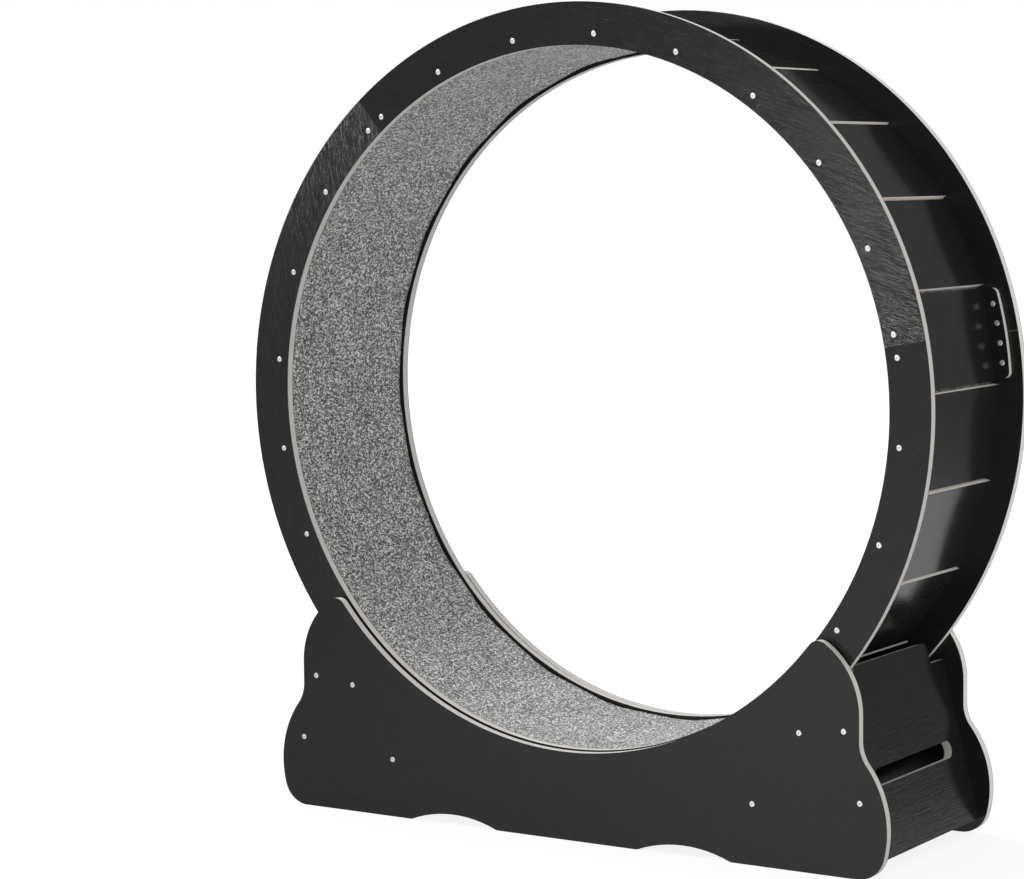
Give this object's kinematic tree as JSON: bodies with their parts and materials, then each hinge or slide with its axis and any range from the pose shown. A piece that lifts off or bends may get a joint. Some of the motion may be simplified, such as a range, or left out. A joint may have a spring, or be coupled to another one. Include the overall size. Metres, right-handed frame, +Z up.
{
  "type": "cat exercise wheel",
  "caption": "Free-standing running wheel for a cat: a carpet-lined drum of slats between two flat plywood rings, turning on grooved rollers in a low base of shaped panels.",
  "frame": {"origin": "on the floor under the middle of the wheel, which is the bottom centre of the whole object's box", "axes": "+Z up, the wheel turns about Y, the front faces -Y and +X is to the right as seen from the front"},
  "size_m": [1, 0.313, 1.0615],
  "materials": {
    "ring_plywood": "black embossed wood-grain laminate with a satin sheen, raw plywood edges",
    "slat_plywood": "black embossed wood-grain laminate, glossier than the rings, raw plywood edges",
    "base_plywood": "black embossed wood-grain laminate with a satin sheen, raw plywood edges",
    "carpet": "heathered grey looped pile",
    "screw_steel": "bright nickel-plated",
    "axle_steel": "zinc-plated",
    "bearing_steel": "ground steel",
    "roller_nylon": "moulded nylon"
  },
  "bodies": {
    "base": {"front_side_panel": "base_plywood", "rear_side_panel": "base_plywood", "left_end_board": "base_plywood", "right_end_board": "base_plywood", "left_cross_brace": "base_plywood", "right_cross_brace": "base_plywood", "left_roller_axle": "axle_steel", "right_roller_axle": "axle_steel", "axle_spacers": "axle_steel", "roller_bearings": "bearing_steel", "base_screws": "screw_steel"},
    "wheel": {"front_ring_segment_1": "ring_plywood", "front_ring_segment_2": "ring_plywood", "front_ring_segment_3": "ring_plywood", "rear_ring_segment_1": "ring_plywood", "rear_ring_segment_2": "ring_plywood", "rear_ring_segment_3": "ring_plywood", "front_joint_plate_1": "ring_plywood", "front_joint_plate_2": "ring_plywood", "front_joint_plate_3": "ring_plywood", "rear_joint_plate_1": "ring_plywood", "rear_joint_plate_2": "ring_plywood", "rear_joint_plate_3": "ring_plywood", "track_slat_01": "slat_plywood", "track_slat_02": "slat_plywood", "track_slat_03": "slat_plywood", "track_slat_04": "slat_plywood", "track_slat_05": "slat_plywood", "track_slat_06": "slat_plywood", "track_slat_07": "slat_plywood", "track_slat_08": "slat_plywood", "track_slat_09": "slat_plywood", "track_slat_10": "slat_plywood", "track_slat_11": "slat_plywood", "track_slat_12": "slat_plywood", "track_slat_13": "slat_plywood", "track_slat_14": "slat_plywood", "track_slat_15": "slat_plywood", "track_slat_16": "slat_plywood", "track_slat_17": "slat_plywood", "track_slat_18": "slat_plywood", "track_slat_19": "slat_plywood", "track_slat_20": "slat_plywood", "track_slat_21": "slat_plywood", "track_slat_22": "slat_plywood", "track_slat_23": "slat_plywood", "track_slat_24": "slat_plywood", "carpet_lining": "carpet", "front_slat_screws": "screw_steel", "rear_slat_screws": "screw_steel", "front_plate_screws": "screw_steel", "rear_plate_screws": "screw_steel"},
    "front_left_roller": {"front_left_roller": "roller_nylon"},
    "front_right_roller": {"front_right_roller": "roller_nylon"},
    "rear_left_roller": {"rear_left_roller": "roller_nylon"},
    "rear_right_roller": {"rear_right_roller": "roller_nylon"}
  },
  "joints": [
    {"name": "wheel_spin", "type": "hinge", "parent": "base", "child": "wheel", "pos_m": [0, 0, 0.5615], "axis": [0, 1, 0], "continuous": true},
    {"name": "front_left_roller_spin", "type": "hinge", "parent": "base", "child": "front_left_roller", "pos_m": [-0.33369, -0.135, 0.1708], "axis": [0, 1, 0], "continuous": true},
    {"name": "front_right_roller_spin", "type": "hinge", "parent": "base", "child": "front_right_roller", "pos_m": [0.33369, -0.135, 0.1708], "axis": [0, 1, 0], "continuous": true},
    {"name": "rear_left_roller_spin", "type": "hinge", "parent": "base", "child": "rear_left_roller", "pos_m": [-0.33369, 0.135, 0.1708], "axis": [0, 1, 0], "continuous": true},
    {"name": "rear_right_roller_spin", "type": "hinge", "parent": "base", "child": "rear_right_roller", "pos_m": [0.33369, 0.135, 0.1708], "axis": [0, 1, 0], "continuous": true}
  ],
  "couplings": [
    {"joint": "front_left_roller_spin", "follows": "wheel_spin", "ratio": -37.037},
    {"joint": "front_right_roller_spin", "follows": "wheel_spin", "ratio": -37.037},
    {"joint": "rear_left_roller_spin", "follows": "wheel_spin", "ratio": -37.037},
    {"joint": "rear_right_roller_spin", "follows": "wheel_spin", "ratio": -37.037}
  ]
}
